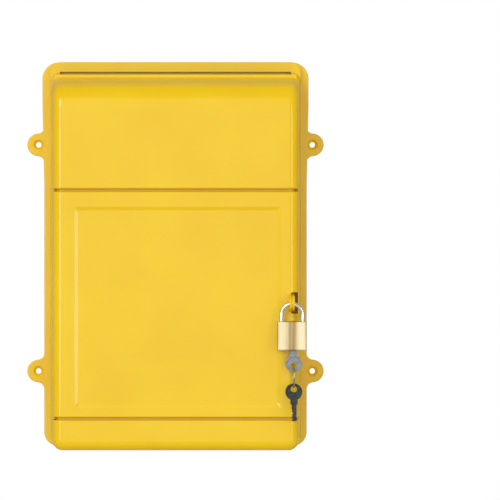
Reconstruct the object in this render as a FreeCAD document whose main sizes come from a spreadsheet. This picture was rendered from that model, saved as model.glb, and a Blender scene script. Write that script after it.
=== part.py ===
"""Wall mailbox of moulded plastic: hooded mail slot on top, side-hung door, hasp and small padlock.

Millimetres. X runs to the viewer's right, Y runs into the wall and Z up. The origin is the centre of
the four wall-fixing holes, on the back plane, so the whole box lies at negative Y.
"""
import FreeCAD, Part
import math
import os
import re

import Sketcher
from FreeCAD import Placement, Rotation, Vector

doc = FreeCAD.newDocument("Mailbox")

# ---------------------------------------------------------------- driving sizes
SIZES = {
    # housing, overall
    "box_width": (232, "width over the flange"),
    "box_height": (339, "height over the flange"),
    "flange_reach": (5, "flange beyond the body's sides"),
    "side_draft": (5, "how much further in each side stands at the front"),
    "body_depth": (82, "wall to front face"),
    "body_corner": (9, "radius of the body's corners seen from the front"),
    "edge_round": (8, "radius round the front edges"),
    "least_round": (0.6, "smallest radius inside the walls"),
    "wall": (2.5, "wall of the housing"),
    "flange_thickness": (4, "flange and ears"),
    "flange_soften": (1, "softened front edge of flange and ears"),
    "flange_corner": (14.4, "radius of the flange's corners"),
    "flange_foot": (12.5, "radius of its lower corners"),
    "flange_flare": (1.6, "how much further the flange stands out beside the slot"),
    "flare_height": (40, "length of the flared stretch, down from the top"),
    "flare_taper": (68, "stretch below it where the flange narrows"),
    # wall fixings
    "fixing_reach": (5, "fixing holes' centres beyond the flange"),
    "upper_fixing_drop": (72.8, "top of the box down to the upper fixing holes"),
    "lower_fixing_rise": (66.2, "bottom of the box up to the lower fixing holes"),
    "fixing_hole": (4.8, "diameter of a fixing hole"),
    "fixing_sink": (9.4, "diameter of its countersink"),
    "ear_radius": (10, "round end of an ear"),
    "ear_fillet": (6, "hollow where an ear meets the flange"),
    "ear_root": (2, "how far an ear runs into the flange"),
    # hood, slot and back strip
    "hood_drop": (43.9, "top of the box down to where the hood starts to curve back"),
    "hood_round": (24, "radius of the hood's front curve"),
    "hood_slope": (12, "degrees the hood's top falls to the front"),
    "rain_bead_depth": (10, "how far the bead above the slot stands out from the wall"),
    "rain_bead_height": (8.6, "height of that bead"),
    "slot_margin": (9.2, "body's side to the end of the mail slot"),
    "slot_reach": (33.5, "wall to the slot's front edge"),
    "slot_corner": (4, "radius of the slot's ends"),
    "lip_thickness": (2.6, "lip along the slot's front edge"),
    "lip_round": (1.2, "rolled top of the lip"),
    "lip_height": (2.6, "how far the lip stands above the hood"),
    "strip_thickness": (3.2, "back wall behind the slot"),
    "strip_height": (24, "height of that back wall"),
    # door
    "door_drop": (114.3, "top of the box down to the middle of the door's top gap"),
    "door_foot": (27.5, "bottom of the box up to the middle of the door's bottom gap"),
    "door_gap": (2.4, "gap above and below the door"),
    "door_wall": (3, "wall of the door"),
    "door_clearance": (0.6, "door to the frame behind it"),
    "gap_round": (1.3, "softened edges beside the door gaps"),
    "return_depth": (17, "how far the door's sides reach back"),
    "return_gap": (0.8, "end of a side return to the housing"),
    "frame_border": (12, "frame left round the door opening"),
    "label_side": (17, "front's side edge to the recessed panel"),
    "label_foot": (8.4, "door's bottom edge up to the recessed panel"),
    "label_shift": (2, "recessed panel, off centre towards the lock"),
    "label_drop": (13, "door's top edge down to the recessed panel"),
    "label_border": (3, "width of its sloping border"),
    "label_depth": (1, "depth of the recess"),
    "label_corner": (2, "radius of its corners"),
    "opening_corner": (4, "radius of the door opening's corners"),
    # hinge
    "hinge_bead": (3.2, "radius of the bead that the door turns in"),
    "cove_clearance": (0.5, "bead to the cove round it"),
    "door_opening": (110, "degrees that the door opens"),
    "cove_wall": (2.2, "wall round the cove"),
    "pin_diameter": (3, "hinge pin"),
    "pin_clearance": (0.05, "hinge pin to the bead's bore, on the radius"),
    "pin_in_door": (10, "hinge pin inside the door"),
    "pin_end_play": (0.5, "bore past the end of a hinge pin"),
    "pin_sunk": (1, "hinge pin's other end below its block's face"),
    "pin_block": (10, "block in the housing that holds a hinge pin"),
    "pin_block_radius": (5, "radius of that block"),
    "bead_play": (0.1, "door's bead to the ledge that carries it"),
    # hasp
    "hasp_drop": (211.6, "top of the box down to the hasp's hole"),
    "hasp_hole": (7, "hole in the hasp's two plates"),
    "hasp_reach": (8, "front face to the hole's centre"),
    "hasp_round": (6.4, "round end of a plate"),
    "hasp_root": (8, "half height of a plate at its root"),
    "eye_plate": (2, "thickness of the door's eye"),
    "tab_plate": (2.2, "thickness of the housing's tab"),
    "tab_swing": (3.2, "room beside the tab for the door to swing clear of it"),
    "plate_gap": (0.3, "between eye and tab"),
    "tab_root": (2, "widened foot of the tab"),
    "notch_clearance": (1.2, "door's notch above and below the tab"),
    # back panel
    "panel_thickness": (3, "back panel"),
    "panel_inset": (0.4, "back panel set in from the wall plane"),
    "panel_clearance": (0.3, "round the back panel"),
    "boss_radius": (4, "screw boss"),
    "boss_length": (13, "screw boss"),
    "screw_diameter": (3, "back panel screws"),
    "screw_head": (5.6, "their heads"),
    "screw_length": (11, "under and with the head"),
    "screw_play": (0.2, "back panel's holes round the screws, on the radius"),
    "screw_cross": (3.2, "length of the cross in a screw's head"),
    "screw_cross_width": (0.7, "width of its arms"),
    "screw_cross_depth": (1.2, "its depth"),
    # padlock
    "lock_width": (25, "brass body"),
    "lock_height": (25, "brass body"),
    "lock_thickness": (12, "brass body"),
    "lock_round": (1.2, "its softened edges"),
    "shackle_wire": (3.8, "shackle bar"),
    "shackle_spacing": (18.4, "shackle legs, centre to centre"),
    "shackle_rise": (16.9, "top of the shackle above the body"),
    "shackle_hang": (0.8, "shackle to the bottom of the hasp's hole"),
    "leg_clearance": (0.1, "shackle leg in its hole, on the radius"),
    "toe_length": (8.2, "toe leg inside the body"),
    "heel_length": (20.5, "heel leg inside the body"),
    "lock_travel": (8.3, "how far the body drops when it opens"),
    "heel_floor": (2.2, "brass left under the heel's hole"),
    "bolt_diameter": (3, "locking bolt"),
    "bolt_drop": (2.9, "body's top down to the bolt's axis"),
    "bolt_bite": (0.6, "how far the bolt enters the toe"),
    "bolt_travel": (2, "how far the bolt draws back"),
    "bolt_length": (9.4, "locking bolt"),
    "bolt_clearance": (0.1, "bolt in its bore, on the radius"),
    "bolt_spring_room": (1.6, "bore left behind the bolt when it is drawn back"),
    "notch_play": (0.1, "toe's notch round the bolt"),
    "bore_plug": (1.6, "plugs that close the drilled bores"),
    "stop_pin": (1.6, "pin that keeps the heel in"),
    "stop_drop": (10.5, "body's top down to that pin"),
    "stop_flat": (1, "depth of the heel's flat"),
    "front_skin": (1.6, "brass left in front of the cross pins"),
    "pin_recess": (0.1, "cross pins below the brass's surface"),
    "leg_hole_extra": (0.5, "toe's hole past its end"),
    "plug_diameter": (7, "key plug"),
    "plug_offset": (1.5, "key plug off the body's centre"),
    "plug_clearance": (0.04, "key plug in its bore, on the radius"),
    "plug_drop": (6.4, "body's top down to the plug's top"),
    "cam_radius": (0.45, "pin on the plug that draws the bolt"),
    "cam_play": (0.2, "that pin in the bolt's slot"),
    "cam_below": (0.2, "that pin's top below the bolt's axis"),
    "groove_width": (1.2, "retaining groove round the plug"),
    "groove_depth": (0.7, "retaining groove"),
    "groove_height": (2.6, "bottom of the body up to the groove"),
    "chamber_diameter": (2, "pin chambers"),
    "chamber_pitch": (2.5, "between pin chambers"),
    "chamber_start": (4.6, "bottom of the body up to the first chamber"),
    "chamber_count": (4, "pin chambers"),
    "chamber_play": (0.05, "pins in their chambers, on the radius"),
    "pin_lift": (0.3, "bottom pins short of the shear line"),
    "driver_length": (2, "driver pins"),
    "spring_wire": (0.36, "wire of all the springs"),
    "spring_bar": (0.2, "bar that joins a spring's rings"),
    "spring_play": (0.15, "springs in their bores, on the radius"),
    "spring_gap": (0.05, "springs to the pieces at their ends"),
    # keys and ring
    "key_thickness": (1.7, "key blank"),
    "keyway_play": (0.12, "key in the keyway, each side"),
    "blade_width": (4.2, "key blade"),
    "blade_back": (2.3, "key blade behind the plug's axis"),
    "blade_length": (14, "key blade inside the lock"),
    "bitting_depth": (1, "deepest cut in the blade"),
    "neck_length": (3.9, "blade between the bow and the lock"),
    "neck_width": (6.2, "that stretch of the blade"),
    "bow_diameter": (14.6, "key bow"),
    "bow_hole": (5.4, "hole in the bow"),
    "bow_hole_up": (5, "hole's centre above the bow's lower edge"),
    "ring_radius": (8.6, "split ring, to the middle of its wire"),
    "ring_wire": (1.5, "split ring's band"),
    "ring_forward": (3, "split ring's centre in front of the key"),
    "ring_hang": (0.7, "ring to the lower edge of the first key's hole"),
    "spare_hang": (0.3, "ring to the upper edge of the spare key's hole"),
    "tip_play": (0.5, "keyway past the tip of the blade"),
    # cutters
    "cut_past": (1, "how far a cutter passes the face that it cuts"),
}

sheet = doc.addObject("Spreadsheet::Sheet", "Sizes")
for row, (alias, (number, note)) in enumerate(SIZES.items(), start=1):
    sheet.set(f"A{row}", note)
    sheet.set(f"B{row}", str(number))
    sheet.setAlias(f"B{row}", alias)
doc.recompute()


def bound(formula):
    """The formula with each size's name turned into a reference to its cell."""
    return re.sub(r"[a-z_]+", lambda m: f"Sizes.{m[0]}" if m[0] in SIZES else m[0], str(formula))


def number_of(formula):
    """The formula's present value."""
    return float(sheet.evalExpression(bound(formula)))


# Places that several pieces share, as formulas of the sizes above.
FIXINGS_UP = "(box_height - upper_fixing_drop - lower_fixing_rise)"
FIXINGS_ACROSS = "(box_width + 2 * fixing_reach)"
TOP = f"({FIXINGS_UP} / 2 + upper_fixing_drop)"
BOTTOM = f"({TOP} - box_height)"
FRONT = "(-body_depth)"
BODY_HALF = "(box_width / 2 - flange_reach)"
FRONT_HALF = f"({BODY_HALF} - side_draft)"
DRAFT = "(side_draft / body_depth)"
SLOT_HALF = f"({BODY_HALF} - slot_margin)"
LEDGE_TOP = f"({TOP} - door_drop + door_gap / 2)"
LEDGE_BOTTOM = f"({BOTTOM} + door_foot - door_gap / 2)"
DOOR_TOP = f"({LEDGE_TOP} - door_gap)"
DOOR_BOTTOM = f"({LEDGE_BOTTOM} + door_gap)"
DOOR_STEP = "(door_wall + door_clearance)"
RETURN_END = "(return_depth - body_depth)"
HINGE_X = f"(-({BODY_HALF} + {RETURN_END} * {DRAFT}) + hinge_bead)"
HASP_Z = f"({TOP} - hasp_drop)"
HASP_Y = "(-body_depth - hasp_reach)"
TAB_RIGHT = f"({FRONT_HALF} - {DOOR_STEP})"
TAB_LEFT = f"({TAB_RIGHT} - tab_plate)"
EYE_RIGHT = f"({TAB_LEFT} - plate_gap)"
LOCK_X = f"(({TAB_RIGHT} + {EYE_RIGHT} - eye_plate) / 2)"
LOCK_Y = HASP_Y
WIRE_Z = f"({HASP_Z} - hasp_hole / 2 + shackle_hang + shackle_wire / 2)"
LOCK_TOP = f"({WIRE_Z} + shackle_wire / 2 - shackle_rise)"
LOCK_BOTTOM = f"({LOCK_TOP} - lock_height)"
HEEL_X = f"({LOCK_X} - shackle_spacing / 2)"
TOE_X = f"({LOCK_X} + shackle_spacing / 2)"
PLUG_X = f"({LOCK_X} + plug_offset)"
PLUG_TOP = f"({LOCK_TOP} - plug_drop)"
BOLT_Z = f"({LOCK_TOP} - bolt_drop)"
BOLT_TIP = f"({TOE_X} - shackle_wire / 2 + bolt_bite)"
CAM_ARM = "(bolt_travel / 2)"
LOCK_RIGHT = f"({LOCK_X} + lock_width / 2)"
LOCK_BACK = f"({LOCK_Y} + lock_thickness / 2)"


# ---------------------------------------------------------------- building blocks
def bind(item, **formulas):
    """Bind the item's properties; a double underscore stands for a dot."""
    for prop, formula in formulas.items():
        item.setExpression(prop.replace("__", "."), bound(formula))
    return item


def put(item, at, turn=Rotation()):
    item.Placement = Placement(Vector(*[number_of(c) for c in at]), turn)
    return bind(item, Placement__Base__x=at[0], Placement__Base__y=at[1], Placement__Base__z=at[2])


FACING = {
    "front": Rotation(Vector(1, 0, 0), 90),
    "side": Rotation(Vector(1, 1, 1), 120),
    "up": Rotation(),
}
ALONG = {
    "x": Rotation(Vector(0, 1, 0), 90),
    "-y": Rotation(Vector(1, 0, 0), 90),
    "y": Rotation(Vector(1, 0, 0), -90),
    "z": Rotation(),
}


def box(name, x, y, z):
    """A block between three pairs of formulas."""
    item = put(doc.addObject("Part::Box", name), (x[0], y[0], z[0]))
    sides = [f"({high}) - ({low})" for low, high in (x, y, z)]
    return bind(item, Length=sides[0], Width=sides[1], Height=sides[2])


def cylinder(name, radius, length, at, along="z"):
    item = put(doc.addObject("Part::Cylinder", name), at, ALONG[along])
    return bind(item, Radius=radius, Height=length)


def cone(name, first, last, length, at, along="z"):
    item = put(doc.addObject("Part::Cone", name), at, ALONG[along])
    return bind(item, Radius1=first, Radius2=last, Height=length)


def cut(name, base, *tools):
    item = doc.addObject("Part::Cut", name)
    item.Base = base
    item.Tool = tools[0] if len(tools) == 1 else fuse(name + "_tools", *tools)
    return item


def fuse(name, *shapes):
    item = doc.addObject("Part::MultiFuse", name)
    item.Shapes = list(shapes)
    return item


def common(name, *shapes):
    item = doc.addObject("Part::MultiCommon", name)
    item.Shapes = list(shapes)
    return item


def rounded(name, base, radius, wanted):
    """Fillet the edges whose middle point and length pass the test."""
    doc.recompute()
    item = doc.addObject("Part::Fillet", name)
    item.Base = base
    size = number_of(radius)
    edges = []
    for index, edge in enumerate(base.Shape.Edges, start=1):
        middle = edge.valueAt((edge.FirstParameter + edge.LastParameter) / 2)
        if wanted(middle, edge):
            edges.append((index, size, size))
    item.Edges = edges
    return item


def sketch(name, facing, at):
    return put(doc.addObject("Sketcher::SketchObject", name), at, FACING[facing])


def fix_point(outline, curve, end, point, name):
    """Hold one end of a curve at a pair of formulas."""
    for kind, axis in (("DistanceX", 0), ("DistanceY", 1)):
        value = number_of(point[axis])
        index = outline.addConstraint(Sketcher.Constraint(kind, -1, 1, curve, end, value))
        label = name + "xy"[axis]
        outline.renameConstraint(index, label)
        outline.setExpression(f"Constraints.{label}", bound(point[axis]))


def arc_between(start, end, radius, turn):
    """Minor arc from start to end; turn is +1 anticlockwise, -1 clockwise."""
    chord = end.sub(start)
    half = chord.Length / 2
    rise = math.sqrt(max(radius * radius - half * half, 0))
    normal = Vector(-chord.y, chord.x, 0).normalize()
    centre = start + chord * 0.5 + normal * (rise * turn)
    first, last = (start, end) if turn > 0 else (end, start)
    angles = [math.atan2(p.y - centre.y, p.x - centre.x) for p in (first, last)]
    circle = Part.Circle(centre, Vector(0, 0, 1), radius)
    return Part.ArcOfCircle(circle, *angles)


def outline(flat, corners):
    """Close a loop through corners (x, y) or (x, y, radius, turn) for an arc that ends there."""
    places = [Vector(number_of(c[0]), number_of(c[1]), 0) for c in corners]
    ends = []
    for number, corner in enumerate(corners):
        start, end = places[number - 1], places[number]
        if len(corner) == 2:
            curve = flat.addGeometry(Part.LineSegment(start, end))
            ends.append((curve, 1, 2))
        else:
            curve = flat.addGeometry(arc_between(start, end, number_of(corner[2]), corner[3]))
            ends.append((curve, 1, 2) if corner[3] > 0 else (curve, 2, 1))
            index = flat.addConstraint(Sketcher.Constraint("Radius", curve, number_of(corner[2])))
            flat.renameConstraint(index, f"r{number}")
            flat.setExpression(f"Constraints.r{number}", bound(corner[2]))
    for number, (curve, first, last) in enumerate(ends):
        after = ends[(number + 1) % len(ends)]
        flat.addConstraint(Sketcher.Constraint("Coincident", curve, last, after[0], after[1]))
        fix_point(flat, curve, last, corners[number], f"p{number}")
    return flat


def rounded_rectangle(flat, left, right, low, high, radius):
    return outline(flat, [
        (f"{left} + {radius}", low),
        (f"{right} - {radius}", low),
        (right, f"{low} + {radius}", radius, 1),
        (right, f"{high} - {radius}"),
        (f"{right} - {radius}", high, radius, 1),
        (f"{left} + {radius}", high),
        (left, f"{high} - {radius}", radius, 1),
        (left, f"{low} + {radius}"),
        (f"{left} + {radius}", low, radius, 1),
    ][1:])


def slab(name, flat, thickness, both_ways=False):
    """A sketch's outline given a thickness along the sketch's normal."""
    item = doc.addObject("Part::Extrusion", name)
    item.Base = flat
    item.DirMode = "Normal"
    item.Solid = True
    item.Symmetric = both_ways
    return bind(item, LengthFwd=thickness)


def loft(name, *sections):
    item = doc.addObject("Part::Loft", name)
    item.Sections = list(sections)
    item.Solid = True
    item.Ruled = True
    return item


parts = []


def sub_part(name, item):
    """Register a finished piece under the name that its file takes."""
    item.Label = name
    parts.append(item)
    return item


# ---------------------------------------------------------------- the box's outer form
SLOPE_RISE = "tan(hood_slope * 1 deg)"
BEYOND = "(2 * box_width)"
INTO_WALL = "(2 * cut_past)"
CLOSE = 0.01
HOOD_Y = "(hood_round - body_depth)"
HOOD_Z = f"({TOP} - hood_drop)"


def hood_surface(along, inset):
    """Height of the hood's sloping top at a distance along Y, a wall's inset below it."""
    lift = f"(hood_round - {inset}) / cos(hood_slope * 1 deg)"
    return f"({HOOD_Z} + {lift} + (({along}) - {HOOD_Y}) * {SLOPE_RISE})"


def form(name, inset, back, hood_back):
    """The body's form shrunk by inset: drafted sides, rounded edges, hood curving back on top."""
    low, high = f"({BOTTOM} + {inset})", f"({TOP} - {inset})"
    corner = f"max(body_corner - {inset}; 2 * least_round)"
    front = f"({inset} - body_depth)"
    sections = []
    for end, place in (("back", back), ("front", front)):
        half = f"({BODY_HALF} + {place} * {DRAFT} - {inset})"
        flat = sketch(f"{name}_{end}", "front", ("0", place, "0"))
        sections.append(rounded_rectangle(flat, f"(-{half})", half, low, high, corner))
    block = loft(name + "_block", *sections)
    round_in = f"(hood_round - {inset})"
    above, beyond = f"({TOP} + cut_past)", "(-body_depth - cut_past)"
    crown = outline(sketch(name + "_crown", "side", ("0", "0", "0")), [
        (hood_back, above),
        (beyond, above),
        (beyond, HOOD_Z),
        (front, HOOD_Z),
        (f"{HOOD_Y} - {round_in} * sin(hood_slope * 1 deg)",
         f"{HOOD_Z} + {round_in} * cos(hood_slope * 1 deg)", round_in, -1),
        (hood_back, hood_surface(hood_back, inset)),
    ])
    trimmed = cut(name + "_trimmed", block, slab(name + "_above", crown, BEYOND, True))
    face, bend = number_of(front), number_of(HOOD_Z)
    near_side, bead = number_of(f"{FRONT_HALF} - edge_round"), number_of(hood_back)
    widest = number_of("edge_round")

    def front_edge(middle, edge):
        if abs(middle.y - face) < CLOSE:
            return middle.z < bend - CLOSE
        on_side = abs(middle.x) > near_side and edge.BoundBox.XLength < widest
        along_hood = middle.z > bend and face < middle.y < bead - CLOSE
        upright = edge.BoundBox.YLength < CLOSE
        return on_side and along_hood and not upright

    return rounded(name, trimmed, f"max(edge_round - {inset}; least_round)", front_edge)


full_form = form("full_form", "0", "0", "(-rain_bead_depth)")

# ---------------------------------------------------------------- housing: one moulding
def door_zone(name, gap, behind):
    """The block of space that the door fills, grown by a gap above and below."""
    return box(name, (f"-{BEYOND}", BEYOND), (f"-{BEYOND}", behind),
               (f"{LEDGE_BOTTOM} - {gap}", f"{LEDGE_TOP} + {gap}"))


def gap_edges(low, high, behind):
    """Pick the outer edges that run along the door's top and bottom gaps."""
    levels = (number_of(low), number_of(high))
    rear = number_of(behind) - CLOSE

    def wanted(middle, edge):
        level = any(abs(middle.z - z) < CLOSE for z in levels)
        return level and edge.BoundBox.ZLength < CLOSE and middle.y < rear

    return wanted


def upright_cylinder(name, radius, low, high):
    """A cylinder about the door's hinge axis."""
    return cylinder(name, radius, f"({high}) - ({low})", (HINGE_X, RETURN_END, low))


ZONE_REAR = f"({RETURN_END} + return_gap)"
stepped = rounded("housing_outside", cut("housing_stepped", full_form, door_zone("zone", "0", ZONE_REAR)),
                  "gap_round", gap_edges(LEDGE_BOTTOM, LEDGE_TOP, ZONE_REAR))
frame_form = form("frame_form", DOOR_STEP, "0", "(-strip_thickness)")

flange_half, flared = "(box_width / 2)", "(box_width / 2 + flange_flare)"
flange_shape = outline(sketch("flange_shape", "front", ("0", "0", "0")), [
    (f"{flange_half} - flange_foot", BOTTOM),
    (flange_half, f"{BOTTOM} + flange_foot", "flange_foot", 1),
    (flange_half, f"{TOP} - flare_height - flare_taper"),
    (flared, f"{TOP} - flare_height"),
    (flared, f"{TOP} - flange_corner"),
    (f"{flared} - flange_corner", TOP, "flange_corner", 1),
    (f"flange_corner - {flared}", TOP),
    (f"-{flared}", f"{TOP} - flange_corner", "flange_corner", 1),
    (f"-{flared}", f"{TOP} - flare_height"),
    (f"-{flange_half}", f"{TOP} - flare_height - flare_taper"),
    (f"-{flange_half}", f"{BOTTOM} + flange_foot"),
    (f"flange_foot - {flange_half}", BOTTOM, "flange_foot", 1),
])
FLANGE_FACE = number_of("-flange_thickness")
flange = rounded("flange", slab("flange_slab", flange_shape, "flange_thickness"), "flange_soften",
                 lambda middle, edge: abs(middle.y - FLANGE_FACE) < CLOSE)


def ear(name, side, level):
    """Rounded fixing ear, blended into the flange's edge by two hollows."""
    centre = f"({level} * {FIXINGS_UP} / 2)"
    root = "(box_width / 2)"
    middle_x = f"({FIXINGS_ACROSS} / 2)"
    # the hollow and the round end touch where the line between their centres crosses both
    rise = "sqrt((ear_radius + ear_fillet) ^ 2 - (ear_fillet - fixing_reach) ^ 2)"
    share = "(ear_radius / (ear_radius + ear_fillet))"
    touch_x = f"({middle_x} + (ear_fillet - fixing_reach) * {share})"
    flat = sketch(name + "_shape", "front", ("0", "0", "0"))
    corners = [
        (f"{root} - ear_root", f"{centre} - {rise}"),
        (root, f"{centre} - {rise}"),
        (touch_x, f"{centre} - {rise} * {share}", "ear_fillet", -1),
        (f"{middle_x} + ear_radius", centre, "ear_radius", 1),
        (touch_x, f"{centre} + {rise} * {share}", "ear_radius", 1),
        (root, f"{centre} + {rise}", "ear_fillet", -1),
        (f"{root} - ear_root", f"{centre} + {rise}"),
    ]
    if side < 0:
        corners = [(f"-({c[0]})", c[1]) + ((c[2], -c[3]) if len(c) == 4 else ()) for c in corners]
    outline(flat, corners)
    edge_x = number_of(root) + CLOSE
    return rounded(name, slab(name + "_slab", flat, "flange_thickness"), "flange_soften",
                   lambda middle, edge: abs(middle.y - FLANGE_FACE) < CLOSE and abs(middle.x) > edge_x)


CORNERS = [(side, level) for side in (-1, 1) for level in (-1, 1)]
ears = [ear(f"ear_{number}", *corner) for number, corner in enumerate(CORNERS)]

LIP_BACK = "(-slot_reach)"
LIP_FRONT = "(-slot_reach - lip_thickness)"
LIP_TOP = f"({hood_surface(LIP_FRONT, '0')} + lip_height)"
LIP_SPAN = (f"-{SLOT_HALF} - slot_corner", f"{SLOT_HALF} + slot_corner")
lip_block = box("lip_block", LIP_SPAN, (LIP_FRONT, LIP_BACK), (f"{LIP_TOP} - 3 * lip_height", LIP_TOP))
lip = rounded("lip", lip_block, "lip_round", lambda middle, edge: middle.z > number_of(LIP_TOP) - CLOSE)


def hasp_plate(name, left, right, root):
    """Plate standing out of the front with a round end about the hasp's hole."""
    flat = outline(sketch(name + "_shape", "side", (left, "0", "0")), [
        (root, f"{HASP_Z} - hasp_root"),
        (root, f"{HASP_Z} + hasp_root"),
        (HASP_Y, f"{HASP_Z} + hasp_round"),
        (f"{HASP_Y} - hasp_round", HASP_Z, "hasp_round", 1),
        (HASP_Y, f"{HASP_Z} - hasp_round", "hasp_round", 1),
    ])
    plate = slab(name + "_slab", flat, f"({right}) - ({left})")
    hole = cylinder(name + "_hole", "hasp_hole / 2", f"({right}) - ({left}) + 2 * cut_past",
                    (f"{left} - cut_past", HASP_Y, HASP_Z), "x")
    return cut(name, plate, hole)


tab = hasp_plate("tab", TAB_LEFT, TAB_RIGHT, f"({FRONT} + {DOOR_STEP} + wall)")
tab_foot = box("tab_foot", (f"{TAB_LEFT} - tab_root", TAB_RIGHT), (f"{FRONT} + {DOOR_STEP}", ZONE_REAR),
               (f"{HASP_Z} - hasp_root", f"{HASP_Z} + hasp_root"))

outside = fuse("outside", stepped, frame_form, flange, *ears, lip, tab, tab_foot)

# what is hollow inside, and what stays solid in that hollow
hollow_form = form("hollow_form", "wall", "cut_past", INTO_WALL)
hollow_core = form("hollow_core", f"({DOOR_STEP} + wall)", "cut_past", INTO_WALL)
walled_zone = door_zone("walled_zone", "wall", f"({ZONE_REAR} + wall)")
hollow = fuse("hollow", cut("hollow_stepped", hollow_form, walled_zone), hollow_core)

back_strip = box("back_strip", (f"-{BODY_HALF}", BODY_HALF), ("-strip_thickness", INTO_WALL),
                 (f"{TOP} - strip_height", TOP))
cove_wall = upright_cylinder("cove_block", "hinge_bead + cove_clearance + cove_wall",
                             f"{LEDGE_BOTTOM} - wall", f"{LEDGE_TOP} + wall")
BLOCK_TOP, BLOCK_BOTTOM = f"({LEDGE_TOP} + pin_block)", f"({LEDGE_BOTTOM} - pin_block)"
upper_block = upright_cylinder("upper_block", "pin_block_radius", LEDGE_TOP, BLOCK_TOP)
lower_block = upright_cylinder("lower_block", "pin_block_radius", BLOCK_BOTTOM, LEDGE_BOTTOM)

BOSS_X = f"({BODY_HALF} - wall - boss_radius)"
PANEL_BACK = "(-panel_inset)"
PANEL_FRONT = "(-panel_inset - panel_thickness)"
PANEL_TOP = f"({TOP} - strip_height - panel_clearance)"
BOSS_LEVELS = [
    f"({PANEL_TOP} - 2 * boss_radius)",
    f"(({PANEL_TOP} + {BOTTOM}) / 2)",
    f"({BOTTOM} + wall + 2 * boss_radius)",
]
SCREW_PLACES = [(f"{side} * {BOSS_X}", level) for side in (-1, 1) for level in BOSS_LEVELS]
bosses = [cylinder(f"boss_{number}", "boss_radius", "boss_length", (x, PANEL_FRONT, z), "-y")
          for number, (x, z) in enumerate(SCREW_PLACES)]
boss_holes = [cylinder(f"boss_hole_{number}", "screw_diameter / 2", "screw_length - panel_thickness",
                       (x, PANEL_FRONT, z), "-y") for number, (x, z) in enumerate(SCREW_PLACES)]
left_solid = fuse("left_solid", back_strip, cove_wall, upper_block, lower_block, *bosses)

slot_block = box("slot_block", (f"-{SLOT_HALF}", SLOT_HALF), (LIP_BACK, "-strip_thickness"),
                 (f"{hood_surface(LIP_BACK, 'wall')} - wall", f"{TOP} - rain_bead_height"))
slot = rounded("slot", slot_block, "slot_corner",
               lambda middle, edge: edge.BoundBox.ZLength > CLOSE and middle.y < number_of(LIP_BACK) + CLOSE)
OPENING_HALF = f"({FRONT_HALF} - {DOOR_STEP} - frame_border)"
opening_block = box("opening_block", (f"-{OPENING_HALF}", OPENING_HALF),
                    (f"{FRONT} - cut_past", f"{FRONT} + {DOOR_STEP} + wall + cut_past"),
                    (f"{LEDGE_BOTTOM} + frame_border", f"{LEDGE_TOP} - frame_border"))
opening = rounded("opening", opening_block, "opening_corner",
                  lambda middle, edge: edge.BoundBox.YLength > CLOSE)
COVE = "(hinge_bead + cove_clearance)"
cove = upright_cylinder("cove", COVE, LEDGE_BOTTOM, LEDGE_TOP)
PIN_RADIUS = "(pin_diameter / 2)"
upper_bore = upright_cylinder("upper_bore", PIN_RADIUS, LEDGE_TOP, f"{BLOCK_TOP} + cut_past")
lower_bore = upright_cylinder("lower_bore", PIN_RADIUS, f"{BLOCK_BOTTOM} - cut_past", LEDGE_BOTTOM)


def group(name, *items):
    """Separate solids that share one node or are placed together."""
    item = doc.addObject("Part::Compound", name)
    item.Links = list(items)
    return item


# room beside the hinge for the door's side return when the door is fully open
relief_block = box("relief_block", ("-2 * return_depth", "0"), ("-cut_past", COVE),
                   (LEDGE_BOTTOM, LEDGE_TOP))
relief_turn = number_of(f"90 - door_opening + atan({DRAFT}) / 1 deg")
swing_relief = put(group("swing_relief", relief_block), (HINGE_X, RETURN_END, "0"),
                   Rotation(Vector(0, 0, 1), relief_turn))

fixing_cuts = []
for number, (side, level) in enumerate(CORNERS):
    x, z = f"{side} * {FIXINGS_ACROSS} / 2", f"{level} * {FIXINGS_UP} / 2"
    sink_depth = "(fixing_sink - fixing_hole) / 2"
    drilled = cylinder(f"fixing_hole_{number}", "fixing_hole / 2", "flange_thickness + 2 * cut_past",
                       (x, "cut_past", z), "-y")
    sunk = cone(f"fixing_sink_{number}", "fixing_hole / 2", "fixing_sink / 2", sink_depth,
                (x, f"{sink_depth} - flange_thickness", z), "-y")
    fixing_cuts += [drilled, sunk]

sub_part("housing", cut(
    "housing", outside, cut("open_space", hollow, left_solid),
    slot, opening, cove, swing_relief, upper_bore, lower_bore, *boss_holes, *fixing_cuts))

# ---------------------------------------------------------------- back panel and its screws
panel_form = form("panel_form", "(wall + panel_clearance)", "cut_past", INTO_WALL)
panel_plate = box("panel_plate", (f"-{BEYOND}", BEYOND), (PANEL_FRONT, PANEL_BACK),
                  (f"-{BEYOND}", PANEL_TOP))
HEAD_DEPTH = "((screw_head - screw_diameter) / 2)"
panel_sinks = []
for number, (x, z) in enumerate(SCREW_PLACES):
    panel_sinks.append(cylinder(f"panel_hole_{number}", "screw_diameter / 2 + screw_play",
                                "panel_thickness + panel_inset + 2 * cut_past", (x, "cut_past", z), "-y"))
    panel_sinks.append(cone(f"panel_sink_{number}", "screw_head / 2", "screw_diameter / 2", HEAD_DEPTH,
                            (x, PANEL_BACK, z), "-y"))
sub_part("back_panel", cut("back_panel", common("panel_blank", panel_form, panel_plate), *panel_sinks))

screws = []
for number, (x, z) in enumerate(SCREW_PLACES):
    head = cone(f"screw_head_{number}", "screw_head / 2", "screw_diameter / 2", HEAD_DEPTH,
                (x, PANEL_BACK, z), "-y")
    shank = cylinder(f"screw_shank_{number}", "screw_diameter / 2", "screw_length", (x, PANEL_BACK, z), "-y")
    long_way, short_way = "screw_cross / 2", "screw_cross_width / 2"
    arms = [box(f"screw_{arm}_{number}", (f"{x} - {across}", f"{x} + {across}"),
                (f"{PANEL_BACK} - screw_cross_depth", "cut_past"), (f"{z} - {up}", f"{z} + {up}"))
            for arm, across, up in (("slot", long_way, short_way), ("cross", short_way, long_way))]
    screws.append(cut(f"screw_{number}", fuse(f"screw_blank_{number}", head, shank), *arms))

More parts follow.
